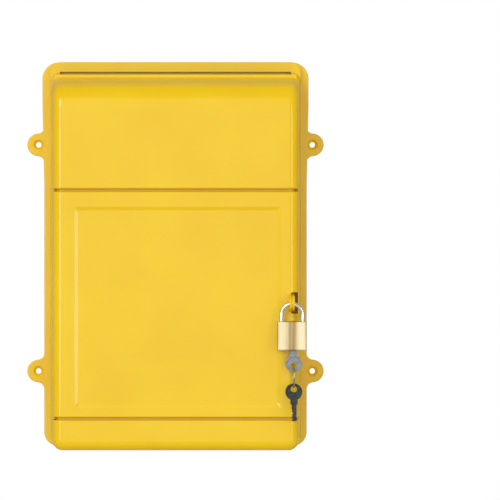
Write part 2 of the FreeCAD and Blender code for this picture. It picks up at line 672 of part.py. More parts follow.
sub_part("back_panel_screws", group("back_panel_screws", *screws))

# ---------------------------------------------------------------- door
door_block = common("door_block", full_form, box(
    "door_space", (f"-{BEYOND}", BEYOND), (f"-{BEYOND}", RETURN_END), (DOOR_BOTTOM, DOOR_TOP)))
door_outside = rounded("door_outside", door_block, "gap_round", gap_edges(DOOR_BOTTOM, DOOR_TOP, RETURN_END))
door_inside = form("door_inside", "door_wall", "cut_past", INTO_WALL)
bead = upright_cylinder("bead", "hinge_bead", f"{LEDGE_BOTTOM} + bead_play", f"{LEDGE_TOP} - bead_play")
eye = hasp_plate("eye", f"({EYE_RIGHT} - eye_plate)", EYE_RIGHT, f"({FRONT} + door_wall / 2)")

label_sections = []
for end, deep, inward in (("mouth", "0", "0"), ("floor", "label_depth", "label_border")):
    flat = sketch(f"label_{end}", "front", ("0", f"{FRONT} + {deep}", "0"))
    half = f"({FRONT_HALF} - label_side - {inward})"
    label_sections.append(rounded_rectangle(flat, f"(label_shift - {half})", f"(label_shift + {half})",
                                            f"({DOOR_BOTTOM} + label_foot + {inward})",
                                            f"({DOOR_TOP} - label_drop - {inward})", "label_corner"))
label = loft("label", *label_sections)
notch = box("hasp_notch", (EYE_RIGHT, f"{TAB_RIGHT} + tab_swing"), (f"-{BEYOND}", "0"),
            (f"{HASP_Z} - hasp_root - notch_clearance", f"{HASP_Z} + hasp_root + notch_clearance"))
BORE = "(pin_diameter / 2 + pin_clearance)"
BORE_DEPTH = "(pin_in_door + pin_end_play)"
door_bores = [
    upright_cylinder("door_upper_bore", BORE, f"{DOOR_TOP} - {BORE_DEPTH}", f"{LEDGE_TOP} + cut_past"),
    upright_cylinder("door_lower_bore", BORE, f"{LEDGE_BOTTOM} - cut_past", f"{DOOR_BOTTOM} + {BORE_DEPTH}"),
]
door_shell = fuse("door_shell", cut("door_hollowed", door_outside, door_inside), bead)
door_plain = cut("door_plain", door_shell, label, notch, *door_bores)
sub_part("door", fuse("door", door_plain, eye))

# ---------------------------------------------------------------- hinge pins
sub_part("upper_hinge_pin", upright_cylinder(
    "upper_hinge_pin", PIN_RADIUS, f"{DOOR_TOP} - pin_in_door", f"{BLOCK_TOP} - pin_sunk"))
sub_part("lower_hinge_pin", upright_cylinder(
    "lower_hinge_pin", PIN_RADIUS, f"{BLOCK_BOTTOM} + pin_sunk", f"{DOOR_BOTTOM} + pin_in_door"))

# ---------------------------------------------------------------- padlock: shackle
LEG = "(shackle_wire / 2)"
BOW = "(shackle_spacing / 2)"
BOW_Z = f"({WIRE_Z} - {BOW})"
HEEL_END, TOE_END = f"({LOCK_TOP} - heel_length)", f"({LOCK_TOP} - toe_length)"
heel = cylinder("heel", LEG, f"{BOW_Z} - {HEEL_END}", (HEEL_X, LOCK_Y, HEEL_END))
toe = cylinder("toe", LEG, f"{BOW_Z} - {TOE_END}", (TOE_X, LOCK_Y, TOE_END))
bend = put(doc.addObject("Part::Torus", "bend"), (LOCK_X, LOCK_Y, BOW_Z), FACING["front"])
bind(bend, Radius1=BOW, Radius2=LEG, Angle3="180")
BOLT_R = "(bolt_diameter / 2)"
LIFT_WHILE_HELD = "(lock_travel * bolt_bite / bolt_travel)"
LEG_DEPTH = (f"{LOCK_Y} - shackle_wire", f"{LOCK_Y} + shackle_wire")
NOTCH_FLAT = f"({TOE_X} - {LEG} + bolt_bite + notch_play)"
NOTCH_REACH = f"({BOLT_R} + notch_play)"
toe_notch = box("toe_notch", (f"{TOE_X} - shackle_wire", NOTCH_FLAT), LEG_DEPTH,
                (f"{BOLT_Z} - {NOTCH_REACH} - {LIFT_WHILE_HELD}", f"{BOLT_Z} + {NOTCH_REACH}"))
STOP_Z = f"({LOCK_TOP} - stop_drop)"
FLAT_X = f"({HEEL_X} + {LEG} - stop_flat)"
STOP_X = f"({FLAT_X} + stop_pin / 2 + notch_play)"
STOP_REACH = "stop_pin / 2 + notch_play"
heel_flat = box("heel_flat", (FLAT_X, f"{HEEL_X} + shackle_wire"), LEG_DEPTH,
                (f"{STOP_Z} - lock_travel - ({STOP_REACH})", f"{STOP_Z} + {STOP_REACH}"))
sub_part("shackle", cut("shackle", fuse("shackle_bar", heel, toe, bend), toe_notch, heel_flat))

# ---------------------------------------------------------------- padlock: brass body
lock_block = rounded("lock_block", box(
    "lock_blank", (f"{LOCK_X} - lock_width / 2", LOCK_RIGHT),
    (f"{LOCK_Y} - lock_thickness / 2", f"{LOCK_Y} + lock_thickness / 2"), (LOCK_BOTTOM, LOCK_TOP)),
    "lock_round", lambda middle, edge: True)
LEG_HOLE = "(shackle_wire / 2 + leg_clearance)"
heel_hole = cylinder("heel_hole", LEG_HOLE, "lock_height - heel_floor + cut_past",
                     (HEEL_X, LOCK_Y, f"{LOCK_BOTTOM} + heel_floor"))
toe_hole = cylinder("toe_hole", LEG_HOLE, "toe_length + leg_hole_extra + cut_past",
                    (TOE_X, LOCK_Y, f"{LOCK_TOP} - toe_length - leg_hole_extra"))
BOLT_LEFT = f"({BOLT_TIP} - bolt_length)"
BOLT_BORE_LEFT = f"({BOLT_LEFT} - bolt_travel - bolt_spring_room)"
bolt_bore = cylinder("bolt_bore", f"{BOLT_R} + bolt_clearance",
                     f"{LOCK_RIGHT} - {BOLT_BORE_LEFT} + cut_past", (BOLT_BORE_LEFT, LOCK_Y, BOLT_Z), "x")
plug_bore = cylinder("plug_bore", "plug_diameter / 2 + plug_clearance",
                     f"{BOLT_Z} - {LOCK_BOTTOM} + cut_past", (PLUG_X, LOCK_Y, f"{LOCK_BOTTOM} - cut_past"))
CHAMBER_COUNT = int(number_of("chamber_count"))
CHAMBERS = [f"({LOCK_BOTTOM} + chamber_start + {n} * chamber_pitch)" for n in range(CHAMBER_COUNT)]
chambers = [cylinder(f"chamber_{n}", "chamber_diameter / 2", f"{LOCK_RIGHT} - {PLUG_X} + cut_past",
                     (PLUG_X, LOCK_Y, z), "x") for n, z in enumerate(CHAMBERS)]
GROOVE_Z = f"({LOCK_BOTTOM} + groove_height)"
RETAINER_X = f"({PLUG_X} - plug_diameter / 2)"
RETAINER_R = "(groove_width / 2 - notch_play / 2)"


def cross_pin(name, radius, x, z, beyond, short):
    """Pin driven in from the body's back, or the hole for it when it reaches beyond the surface."""
    length = f"lock_thickness - front_skin + ({beyond}) - ({short})"
    return cylinder(name, radius, length, (x, f"{LOCK_BACK} + ({beyond})", z), "-y")


stop_hole = cross_pin("stop_hole", "stop_pin / 2", STOP_X, STOP_Z, "cut_past", "0")
retainer_hole = cross_pin("retainer_hole", RETAINER_R, RETAINER_X, GROOVE_Z, "cut_past", "0")
sub_part("lock_body", cut("lock_body", lock_block, heel_hole, toe_hole, bolt_bore, plug_bore, stop_hole,
                          *chambers, retainer_hole))

# ---------------------------------------------------------------- padlock: bolt and its bore plug
PIN_SLOT_X = f"({PLUG_X} + {CAM_ARM})"
bolt_bar = cylinder("bolt_bar", BOLT_R, "bolt_length", (BOLT_LEFT, LOCK_Y, BOLT_Z), "x")
CAM_ROOM = "(cam_radius + cam_play)"
bolt_slot = box("bolt_slot", (f"{PIN_SLOT_X} - {CAM_ROOM}", f"{PIN_SLOT_X} + {CAM_ROOM}"),
                (f"{LOCK_Y} - bolt_diameter", f"{LOCK_Y} + bolt_diameter"),
                (f"{BOLT_Z} - bolt_diameter", f"{BOLT_Z} - cam_below / 2"))
sub_part("locking_bolt", cut("locking_bolt", bolt_bar, bolt_slot))
BORE_PLUG_LEFT = f"({TOE_X} + {LEG_HOLE} + leg_clearance)"
sub_part("bolt_bore_plug", cylinder("bolt_bore_plug", f"{BOLT_R} + bolt_clearance",
                                    f"{LOCK_RIGHT} - lock_round / 4 - {BORE_PLUG_LEFT}",
                                    (BORE_PLUG_LEFT, LOCK_Y, BOLT_Z), "x"))
sub_part("heel_stop_pin", cross_pin("heel_stop_pin", "stop_pin / 2", STOP_X, STOP_Z,
                                    "-pin_recess", "pin_recess"))


def spring(name, bore, room, turns, at, along):
    """Coil spring as even rings of round wire joined by one straight bar, which keeps it a simple solid."""
    axis = "xyz".index(along)
    mean = f"({bore} - spring_play - spring_wire / 2)"
    inset = "(spring_gap + spring_wire / 2)"
    length = f"({room} - 2 * {inset})"

    def place(step, aside):
        """A point that far along the spring's axis, and that far off it."""
        side = 0 if axis == 2 else 2
        moved = {axis: f" + {inset} + {step}", side: f" + {aside}"}
        return [c + moved.get(index, "") for index, c in enumerate(at)]

    pieces = [cylinder(f"{name}_bar", "spring_bar / 2", length, place("0", mean), along)]
    for turn in range(turns):
        coil = put(doc.addObject("Part::Torus", f"{name}_{turn}"),
                   place(f"{length} * {turn} / {turns - 1}", "0"), ALONG[along])
        pieces.append(bind(coil, Radius1=mean, Radius2="spring_wire / 2"))
    return fuse(name, *pieces)


sub_part("bolt_spring", spring("bolt_spring", BOLT_R, f"{BOLT_LEFT} - {BOLT_BORE_LEFT}", 4,
                               (BOLT_BORE_LEFT, LOCK_Y, BOLT_Z), "x"))
sub_part("shackle_spring", spring("shackle_spring", LEG, "lock_height - heel_floor - heel_length", 4,
                                  (HEEL_X, LOCK_Y, f"{LOCK_BOTTOM} + heel_floor"), "z"))

# ---------------------------------------------------------------- padlock: plug, pins and their springs
PLUG_R = "(plug_diameter / 2)"
plug_bar = cylinder("plug_bar", PLUG_R, f"{PLUG_TOP} - {LOCK_BOTTOM}", (PLUG_X, LOCK_Y, LOCK_BOTTOM))
cam = cylinder("cam", "cam_radius", f"{BOLT_Z} - cam_below - {PLUG_TOP}",
               (PIN_SLOT_X, f"{LOCK_Y} - {CAM_ARM}", PLUG_TOP))
BLADE_LEFT = f"({PLUG_X} - blade_back)"
BLADE_RIGHT = f"({BLADE_LEFT} + blade_width)"
BLADE_TIP = f"({LOCK_BOTTOM} + blade_length)"
keyway = box("keyway", (f"{BLADE_LEFT} - keyway_play", f"{BLADE_RIGHT} + keyway_play"),
             (f"{LOCK_Y} - key_thickness / 2 - keyway_play", f"{LOCK_Y} + key_thickness / 2 + keyway_play"),
             (f"{LOCK_BOTTOM} - cut_past", f"{BLADE_TIP} + tip_play"))
plug_chambers = [cylinder(f"plug_chamber_{n}", "chamber_diameter / 2", PLUG_R, (PLUG_X, LOCK_Y, z), "x")
                 for n, z in enumerate(CHAMBERS)]
groove_place = (PLUG_X, LOCK_Y, f"{GROOVE_Z} - groove_width / 2")
groove_disc = cylinder("groove_disc", f"{PLUG_R} + cut_past", "groove_width", groove_place)
groove_core = cylinder("groove_core", f"{PLUG_R} - groove_depth", "groove_width", groove_place)
sub_part("key_plug", cut("key_plug", fuse("plug_with_cam", plug_bar, cam), keyway,
                         cut("groove", groove_disc, groove_core), *plug_chambers))
sub_part("plug_retaining_pin", cross_pin("plug_retaining_pin", RETAINER_R, RETAINER_X, GROOVE_Z,
                                         "-pin_recess", "pin_recess"))

PIN_R = "(chamber_diameter / 2 - chamber_play)"
SHEAR_X = f"({PLUG_X} + {PLUG_R})"
PIN_TIP = f"({BLADE_RIGHT} + keyway_play)"
DRIVER_END = f"({SHEAR_X} + plug_clearance + driver_length)"
PLUG_FACE = f"({LOCK_RIGHT} - bore_plug)"
pins, drivers, pin_springs, chamber_plugs = [], [], [], []
for n, z in enumerate(CHAMBERS):
    place = (f"{SHEAR_X} + plug_clearance", LOCK_Y, z)
    pins.append(cylinder(f"pin_{n}", PIN_R, f"{SHEAR_X} - {PIN_TIP} - pin_lift", (PIN_TIP, LOCK_Y, z), "x"))
    drivers.append(cylinder(f"driver_{n}", PIN_R, "driver_length", place, "x"))
    pin_springs.append(spring(f"pin_spring_{n}", "chamber_diameter / 2", f"{PLUG_FACE} - {DRIVER_END}", 5,
                              (DRIVER_END, LOCK_Y, z), "x"))
    chamber_plugs.append(cylinder(f"chamber_plug_{n}", "chamber_diameter / 2", "bore_plug",
                                  (PLUG_FACE, LOCK_Y, z), "x"))
sub_part("bottom_pins", group("bottom_pins", *pins))
sub_part("driver_pins", group("driver_pins", *drivers))
sub_part("pin_springs", group("pin_springs", *pin_springs))
sub_part("chamber_plugs", group("chamber_plugs", *chamber_plugs))


# ---------------------------------------------------------------- keys and split ring
BITTING = (0.55, 1.0, 0.7, 0.85)
KEY_HOLE_DROP = "(neck_length + bow_diameter - bow_hole_up)"


def key(name, x, y, shoulder):
    """Flat key: round bow with a ring hole, neck, and a blade upwards with cuts along its right edge."""
    half = "key_thickness / 2"
    depth = (f"{y} - {half}", f"{y} + {half}")
    bow_top = f"({shoulder} - neck_length)"
    bow = cylinder(name + "_bow", "bow_diameter / 2", "key_thickness",
                   (x, f"{y} + {half}", f"{bow_top} - bow_diameter / 2"), "-y")
    left, right = f"({x} - blade_back)", f"({x} - blade_back + blade_width)"
    sides = "(neck_width - blade_width) / 2"
    blade = box(name + "_blade", (left, right), depth,
                (f"{bow_top} - bow_hole / 2", f"{shoulder} + blade_length"))
    neck = box(name + "_neck", (f"{left} - {sides}", f"{right} + {sides}"), depth,
               (f"{bow_top} - bow_hole / 2", f"{shoulder} - pin_lift"))
    hole = cylinder(name + "_ring_hole", "bow_hole / 2", "key_thickness + 2 * cut_past",
                    (x, f"{y} + {half} + cut_past", f"{shoulder} - {KEY_HOLE_DROP}"), "-y")
    bites = []
    for n in range(CHAMBER_COUNT):
        level = f"({shoulder} + chamber_start + {n} * chamber_pitch)"
        bitten = f"{BITTING[n % len(BITTING)]} * bitting_depth"
        bite = put(doc.addObject("Part::Box", f"{name}_cut_{n}"),
                   (right, f"{y} - key_thickness", f"{level} - {bitten} * sqrt(2)"),
                   Rotation(Vector(0, 1, 0), -45))
        bites.append(bind(bite, Length=f"2 * {bitten}", Width="2 * key_thickness", Height=f"2 * {bitten}"))
    return cut(name, fuse(name + "_blank", bow, blade, neck), hole, *bites)


sub_part("key", key("key", PLUG_X, LOCK_Y, LOCK_BOTTOM))
WIRE = "(ring_wire / 2)"
RING_TOP_Z = f"({LOCK_BOTTOM} - {KEY_HOLE_DROP} - bow_hole / 2 + {WIRE} + ring_hang)"
RING_Y = f"({LOCK_Y} - ring_forward)"
RING_Z = f"({RING_TOP_Z} - sqrt(ring_radius ^ 2 - ring_forward ^ 2))"
ring = put(doc.addObject("Part::Torus", "split_ring"), (PLUG_X, RING_Y, RING_Z), ALONG["x"])
sub_part("split_ring", bind(ring, Radius1="ring_radius", Radius2=WIRE))

SPARE_SHOULDER = f"({RING_Z} - ring_radius + {WIRE} + spare_hang - bow_hole / 2 - {KEY_HOLE_DROP})"
spare = sub_part("spare_key", group("spare_key", key("spare", "0", "0", "0")))
put(spare, (PLUG_X, RING_Y, SPARE_SHOULDER), Rotation(Vector(0, 1, 0), 180))

# ---------------------------------------------------------------- check and write
doc.recompute()
failed = [item.Name for item in doc.Objects if {"Invalid", "Error"} & set(item.State)]
failed += [item.Label for item in parts if item.Shape.isNull() or not item.Shape.isValid()]
if failed:
    raise RuntimeError("these objects failed: " + ", ".join(failed))

os.makedirs("parts", exist_ok=True)
for item in parts:
    item.Shape.exportStep(f"parts/{item.Label}.step")
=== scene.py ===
"""Wall mailbox of moulded yellow plastic with a hooded slot, a side-hung door and a small padlock.

The script follows the box as it is put together: setting, housing, back, door, hinge, then the
padlock with its keys. Lengths are metres unless a name says mm.
"""
import math

import bpy
import numpy as np
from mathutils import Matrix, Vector


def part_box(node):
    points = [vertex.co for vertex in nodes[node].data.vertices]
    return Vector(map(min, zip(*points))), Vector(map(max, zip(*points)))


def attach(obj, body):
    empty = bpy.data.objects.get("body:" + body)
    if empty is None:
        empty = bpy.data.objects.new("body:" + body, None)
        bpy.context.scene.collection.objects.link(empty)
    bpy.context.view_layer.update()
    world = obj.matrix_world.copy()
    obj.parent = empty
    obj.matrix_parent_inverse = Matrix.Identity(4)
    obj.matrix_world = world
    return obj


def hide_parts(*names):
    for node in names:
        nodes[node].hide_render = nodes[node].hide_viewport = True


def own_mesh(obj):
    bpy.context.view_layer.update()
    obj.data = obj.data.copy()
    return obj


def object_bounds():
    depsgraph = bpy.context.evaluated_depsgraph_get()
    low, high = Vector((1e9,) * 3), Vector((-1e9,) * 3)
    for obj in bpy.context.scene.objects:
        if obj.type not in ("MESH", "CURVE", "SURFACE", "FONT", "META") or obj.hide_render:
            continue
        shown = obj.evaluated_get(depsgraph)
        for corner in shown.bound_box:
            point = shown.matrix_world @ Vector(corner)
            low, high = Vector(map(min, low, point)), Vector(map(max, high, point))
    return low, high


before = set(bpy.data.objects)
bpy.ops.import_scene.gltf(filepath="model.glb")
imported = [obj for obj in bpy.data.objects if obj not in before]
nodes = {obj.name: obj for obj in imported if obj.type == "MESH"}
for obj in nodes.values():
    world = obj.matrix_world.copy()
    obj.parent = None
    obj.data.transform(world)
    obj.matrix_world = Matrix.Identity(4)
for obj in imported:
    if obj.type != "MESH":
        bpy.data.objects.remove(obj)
cad_box = [list(corner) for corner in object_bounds()]
MM = 0.001

# ---------------------------------------------------------------- setting
# A catalogue picture: the box seen square on from a few metres, so its sides hardly show,
# standing off to the left of the frame, in even white light from soft boxes up and to the left.
VIEW_WIDTH = 431 * MM
CAMERA_DISTANCE = 3.071
SENSOR = 36.0
EYE_HEIGHT = 2.6 * MM
FRAMING_RIGHT, FRAMING_UP = 0.149, 0.010
EYE_AHEAD_OF_FRONT = 14 * MM
CLIP_END = 50

front_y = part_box("housing")[0].y + EYE_AHEAD_OF_FRONT
scene = bpy.context.scene
scene.view_settings.view_transform = "Standard"
camera_data = bpy.data.cameras.new("camera")
camera_data.sensor_width = SENSOR
camera_data.lens = SENSOR * CAMERA_DISTANCE / VIEW_WIDTH
camera_data.shift_x, camera_data.shift_y = FRAMING_RIGHT, FRAMING_UP
camera_data.clip_end = CLIP_END
camera = bpy.data.objects.new("camera", camera_data)
camera.location = (0, front_y - CAMERA_DISTANCE, EYE_HEIGHT)
camera.rotation_euler = (math.pi / 2, 0, 0)
scene.collection.objects.link(camera)
scene.camera = camera


def srgb(code):
    """Linear colour of an sRGB hex value: the standard transfer curve, channel by channel."""
    channels = np.array([int(code[i:i + 2], 16) for i in (1, 3, 5)]) / 255
    linear = np.where(channels <= 0.04045, channels / 12.92, ((channels + 0.055) / 1.055) ** 2.4)
    return (*linear.tolist(), 1.0)


def add(tree, kind, inputs=None, **settings):
    """Add one shader node with its settings; inputs that are sockets are linked, others are set."""
    made = tree.nodes.new("ShaderNode" + kind)
    for name, value in settings.items():
        setattr(made, name, value)
    for name, value in (inputs or {}).items():
        if isinstance(value, bpy.types.NodeSocket):
            tree.links.new(value, made.inputs[name])
        else:
            made.inputs[name].default_value = value
    return made


# The backdrop behind the box is lit to pure white; the rest of the studio is dim and warm.
BACKDROP_EDGE, BACKDROP_FULL = 0.983, 0.991
ROOM_STRENGTH, BACKDROP_STRENGTH = 0.5, 1.0
world = bpy.data.worlds.new("studio")
world.use_nodes = True
tree = world.node_tree
view_way = add(tree, "TexCoord").outputs["Generated"]
into_wall = add(tree, "SeparateXYZ", {"Vector": view_way}).outputs["Y"]
behind = add(tree, "MapRange", {"Value": into_wall, "From Min": BACKDROP_EDGE,
                                "From Max": BACKDROP_FULL, "To Min": ROOM_STRENGTH,
                                "To Max": BACKDROP_STRENGTH}, interpolation_type="SMOOTHSTEP")
tint = add(tree, "MapRange", {"Value": into_wall, "From Min": BACKDROP_EDGE,
                              "From Max": BACKDROP_FULL})
room = add(tree, "Mix", {0: tint.outputs["Result"]}, data_type="RGBA")
room.inputs[6].default_value, room.inputs[7].default_value = srgb("#ffe9c0"), srgb("#ffffff")
background = tree.nodes["Background"]
tree.links.new(room.outputs[2], background.inputs["Color"])
tree.links.new(behind.outputs["Result"], background.inputs["Strength"])
scene.world = world


def soft_box(name, place, aim, size, power, mirrored=True):
    """A rectangular soft light facing a point; one that isn't mirrored leaves no highlight."""
    data = bpy.data.lights.new(name, "AREA")
    data.shape = "RECTANGLE"
    data.size, data.size_y = size
    data.energy = power
    lamp = bpy.data.objects.new(name, data)
    lamp.location = place
    lamp.rotation_euler = (Vector(aim) - Vector(place)).to_track_quat("-Z", "Y").to_euler()
    lamp.visible_glossy = mirrored
    scene.collection.objects.link(lamp)


soft_box("key_light", (-0.95, -2.35, 0.85), (0, 0, 0.05), (0.6, 2.4), 27)
soft_box("fill_light", (1.5, -2.5, 0.3), (0, 0, 0), (0.35, 1.3), 9)
soft_box("front_light", (0.25, -3.2, 0.1), (0, 0, 0), (0.9, 0.9), 3, mirrored=False)
soft_box("front_card", (-0.1, -3.3, 1.2), (0, 0, 0), (1.4, 3.8), 15)

floor_mesh = bpy.data.meshes.new("floor")
FLOOR_REACH, FLOOR_DROP = 0.6, 0.12
low = cad_box[0][2] - FLOOR_DROP
corners = [(FLOOR_REACH * x, FLOOR_REACH * y, low) for x, y in ((-1, -1), (1, -1), (1, 1), (-1, 1))]
floor_mesh.from_pydata(corners, [], [(0, 1, 2, 3)])
floor = bpy.data.objects.new("floor", floor_mesh)
scene.collection.objects.link(floor)


# ---------------------------------------------------------------- housing, door and back: moulded ABS
# Three injection mouldings in one yellow ABS. The tool's surface leaves a fine orange peel, and the
# pigment lets a little light through.
# Grooves and creases get painted shade: an ambient occlusion mask turns them deep orange.
def material(name, colour, metallic, roughness, **extra):
    """A new material with its Principled shader set; returns it with its tree and shader."""
    made = bpy.data.materials.new(name)
    made.use_nodes = True
    shader = made.node_tree.nodes["Principled BSDF"]
    shader.inputs["Base Color"].default_value = srgb(colour)
    shader.inputs["Metallic"].default_value = metallic
    shader.inputs["Roughness"].default_value = roughness
    for socket, value in extra.items():
        shader.inputs[socket.replace("_", " ")].default_value = value
    return made, made.node_tree, shader


def finish(made, *names):
    """Give the named CAD nodes one material."""
    for name in names:
        nodes[name].data.materials.clear()
        nodes[name].data.materials.append(made)


def noise(tree, size_mm, stretch=(1, 1, 1), detail=2.0):
    """Noise whose grains measure size_mm, drawn out along an axis by its stretch."""
    place = add(tree, "TexCoord").outputs["Object"]
    scale = tuple(1 / (size_mm * MM * factor) for factor in stretch)
    grains = add(tree, "VectorMath", {0: place, 1: scale}, operation="MULTIPLY").outputs["Vector"]
    return add(tree, "TexNoise", {"Vector": grains, "Scale": 1.0, "Detail": detail}).outputs["Fac"]


def spread(tree, value, low, high, start=0.3, end=0.7):
    """Map part of a value's range, by default a noise's useful middle, onto another quantity's."""
    return add(tree, "MapRange", {"Value": value, "From Min": start, "From Max": end,
                                  "To Min": low, "To Max": high}).outputs["Result"]


def blend(tree, factor, first, second):
    """Mix two colours, each a hex value or a socket."""
    colours = [c if isinstance(c, bpy.types.NodeSocket) else srgb(c) for c in (first, second)]
    mixed = add(tree, "Mix", data_type="RGBA")
    for socket, value in zip((mixed.inputs[0], mixed.inputs[6], mixed.inputs[7]), (factor, *colours)):
        if isinstance(value, bpy.types.NodeSocket):
            tree.links.new(value, socket)
        else:
            socket.default_value = value
    return mixed.outputs[2]


def relief(tree, shader, *layers):
    """Stack bumps, each a height between 0 and 1 with its depth in mm."""
    below = None
    for height, depth_mm in layers:
        inputs = {"Height": height, "Distance": depth_mm * MM, "Strength": 1.0}
        if below:
            inputs["Normal"] = below
        below = add(tree, "Bump", inputs).outputs["Normal"]
    tree.links.new(below, shader.inputs["Normal"])


# Reach and thresholds of the painted shade in grooves and creases.
CREASE_SHADE_REACH = 7 * MM
CREASE_SHADE_FULL, CREASE_SHADE_NONE = 0.08, 0.5


def moulded_plastic(name, colour, shade, crease_shade_colour, roughness):
    """Moulded ABS: two close shades in slow clouds, orange peel, faint wipe marks, painted shade in
    grooves.
    """
    made, tree, shader = material(name, colour, 0.0, roughness, Subsurface_Weight=0.12,
                                  Subsurface_Radius=(1.0, 0.4, 0.05), Subsurface_Scale=2.5 * MM)
    clouds = spread(tree, noise(tree, 60), 0, 1)
    body = blend(tree, clouds, colour, shade)
    # Painted shade: where ambient occlusion finds little open sky, the colour turns deep orange.
    open_sky = add(tree, "AmbientOcclusion", {"Distance": CREASE_SHADE_REACH}, samples=16).outputs["AO"]
    painted_crease_shade = spread(tree, open_sky, 1.0, 0.0, CREASE_SHADE_FULL, CREASE_SHADE_NONE)
    tree.links.new(blend(tree, painted_crease_shade, body, crease_shade_colour), shader.inputs["Base Color"])
    wipes = noise(tree, 1.6, (14, 14, 1), 3.0)
    tree.links.new(spread(tree, wipes, roughness - 0.04, roughness + 0.07), shader.inputs["Roughness"])
    relief(tree, shader, (noise(tree, 9), 0.02), (noise(tree, 0.9), 0.002))
    return made


yellow = moulded_plastic("moulded_abs_yellow", "#f0d010", "#edc90c", "#c04800", 0.17)
finish(yellow, "housing", "door", "back_panel")
floor_paint, tree, shader = material("floor_pale", "#e9e9e7", 0.0, 0.8)
floor_mesh.materials.append(floor_paint)


# ---------------------------------------------------------------- fixings: zinc-plated steel
# Hinge pins, cross-head screws, cross pins and bolt are drawn or turned steel, zinc plated, and
# the springs are bare hard wire. All have fine drawn lines and a slightly cloudy tone.
def plated_steel(name, colour, shade, roughness, line_mm=0.12):
    """Plated steel: cloudy colour and fine lines drawn out along Z."""
    made, tree, shader = material(name, colour, 1.0, roughness)
    cloudy = blend(tree, spread(tree, noise(tree, 1.4), 0, 1), colour, shade)
    tree.links.new(cloudy, shader.inputs["Base Color"])
    lines = noise(tree, line_mm, (1, 1, 18), 4.0)
    tree.links.new(spread(tree, lines, roughness - 0.06, roughness + 0.1), shader.inputs["Roughness"])
    relief(tree, shader, (lines, 0.008))
    return made


zinc = plated_steel("zinc_plate", "#b9bcc0", "#a3a6aa", 0.34)
spring_steel = plated_steel("spring_steel", "#8e9092", "#747678", 0.3)
finish(zinc, "back_panel_screws", "upper_hinge_pin", "lower_hinge_pin", "heel_stop_pin",
       "plug_retaining_pin", "locking_bolt")
finish(spring_steel, "shackle_spring", "pin_springs")


# ---------------------------------------------------------------- padlock: brushed brass and chrome
# The body is sawn from brass bar and brushed upright on a belt, which leaves long vertical bands of
# uneven tone; two fixed pale stripes on it are painted highlights.
# Its edges are tumbled round. The shackle is bent steel bar, polished and chromed.
BAND_LOW, BAND_HIGH = 0.36, 0.64


def brushed_brass(name, colour, pale, dark, roughness, stretch, stripe_place=None):
    """Brass brushed along one axis: fine lines over soft bands, and two fixed pale stripes as painted
    highlights.
    """
    made, tree, shader = material(name, colour, 1.0, roughness)
    bands = noise(tree, 2.6, stretch, 1.0)
    fine = noise(tree, 0.16, stretch, 4.0)
    if stripe_place:
        middle, apart = stripe_place
        place = add(tree, "TexCoord").outputs["Object"]
        across = add(tree, "SeparateXYZ", {"Vector": place}).outputs["X"]
        off = add(tree, "Math", {0: across, 1: middle}, operation="SUBTRACT").outputs["Value"]
        wave = add(tree, "Math", {0: off, 1: 2 * math.pi / apart},
                   operation="MULTIPLY").outputs["Value"]
        stripe_wave = add(tree, "Math", {0: wave}, operation="COSINE").outputs["Value"]
        # Painted highlights: two pale vertical stripes at fixed places either side of the middle.
        painted_highlight = spread(tree, stripe_wave, 0.9, 0.0, -0.9, 0.7)
        uneven = spread(tree, bands, 0, 0.3, BAND_LOW, BAND_HIGH)
        tone = add(tree, "Math", {0: uneven, 1: painted_highlight}, operation="ADD", use_clamp=True).outputs["Value"]
    else:
        tone = spread(tree, bands, 0, 1, BAND_LOW, BAND_HIGH)
    toned = blend(tree, tone, dark, pale)
    lined = blend(tree, spread(tree, fine, 0, 0.35), toned, colour)
    tree.links.new(lined, shader.inputs["Base Color"])
    tree.links.new(spread(tree, fine, roughness - 0.05, roughness + 0.12), shader.inputs["Roughness"])
    relief(tree, shader, (bands, 0.03), (fine, 0.006))
    return made


UPRIGHT, ROUND = (1, 1, 60), (30, 30, 1)
# Where the two painted highlight stripes sit on the lock body, and how far apart they are.
STRIPE_SPACING_SHARE = 0.66
lock_low, lock_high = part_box("lock_body")
painted_highlight_stripes = ((lock_low.x + lock_high.x) / 2, STRIPE_SPACING_SHARE * (lock_high.x - lock_low.x))
body_brass = brushed_brass("brushed_brass", "#b9a164", "#fff8dc", "#947a38", 0.34, UPRIGHT,
                           painted_highlight_stripes)
turned_brass = brushed_brass("turned_brass", "#b9994f", "#cdb26c", "#94763a", 0.28, ROUND)
finish(body_brass, "lock_body", "bolt_bore_plug", "chamber_plugs")
finish(turned_brass, "key_plug", "bottom_pins", "driver_pins")


def chromed(name, colour, roughness):
    """Polished chrome with hairline scuffs where it rubs in the hasp."""
    made, tree, shader = material(name, colour, 1.0, roughness)
    scuffs = noise(tree, 0.22, (9, 1, 1), 5.0)
    worn = spread(tree, scuffs, roughness, roughness + 0.16, 0.52, 0.72)
    tree.links.new(worn, shader.inputs["Roughness"])
    relief(tree, shader, (noise(tree, 5), 0.006), (scuffs, 0.001))
    return made


finish(chromed("chromed_steel", "#e2e3e6", 0.14), "shackle")


# ---------------------------------------------------------------- keys: stamped blanks, nickel plated
# Stamped brass blanks with rolled edges, plated: the one in use in bright nickel, the spare in a dark
# copy of the same nickel as painted shade.
# Each bow has a shallow coined field inside a rim.
BOW_R = 7.3 * MM
RIM, RIM_SLOPE = 1.5 * MM, 0.5 * MM
SHARP_ANGLE = 35


def soften(name, width_mm, steps):
    """Break a CAD piece's sharp edges with a small bevel."""
    edge = nodes[name].modifiers.new("broken_edges", "BEVEL")
    edge.width = width_mm * MM
    edge.segments = steps
    edge.limit_method = "ANGLE"
    edge.angle_limit = math.radians(SHARP_ANGLE)


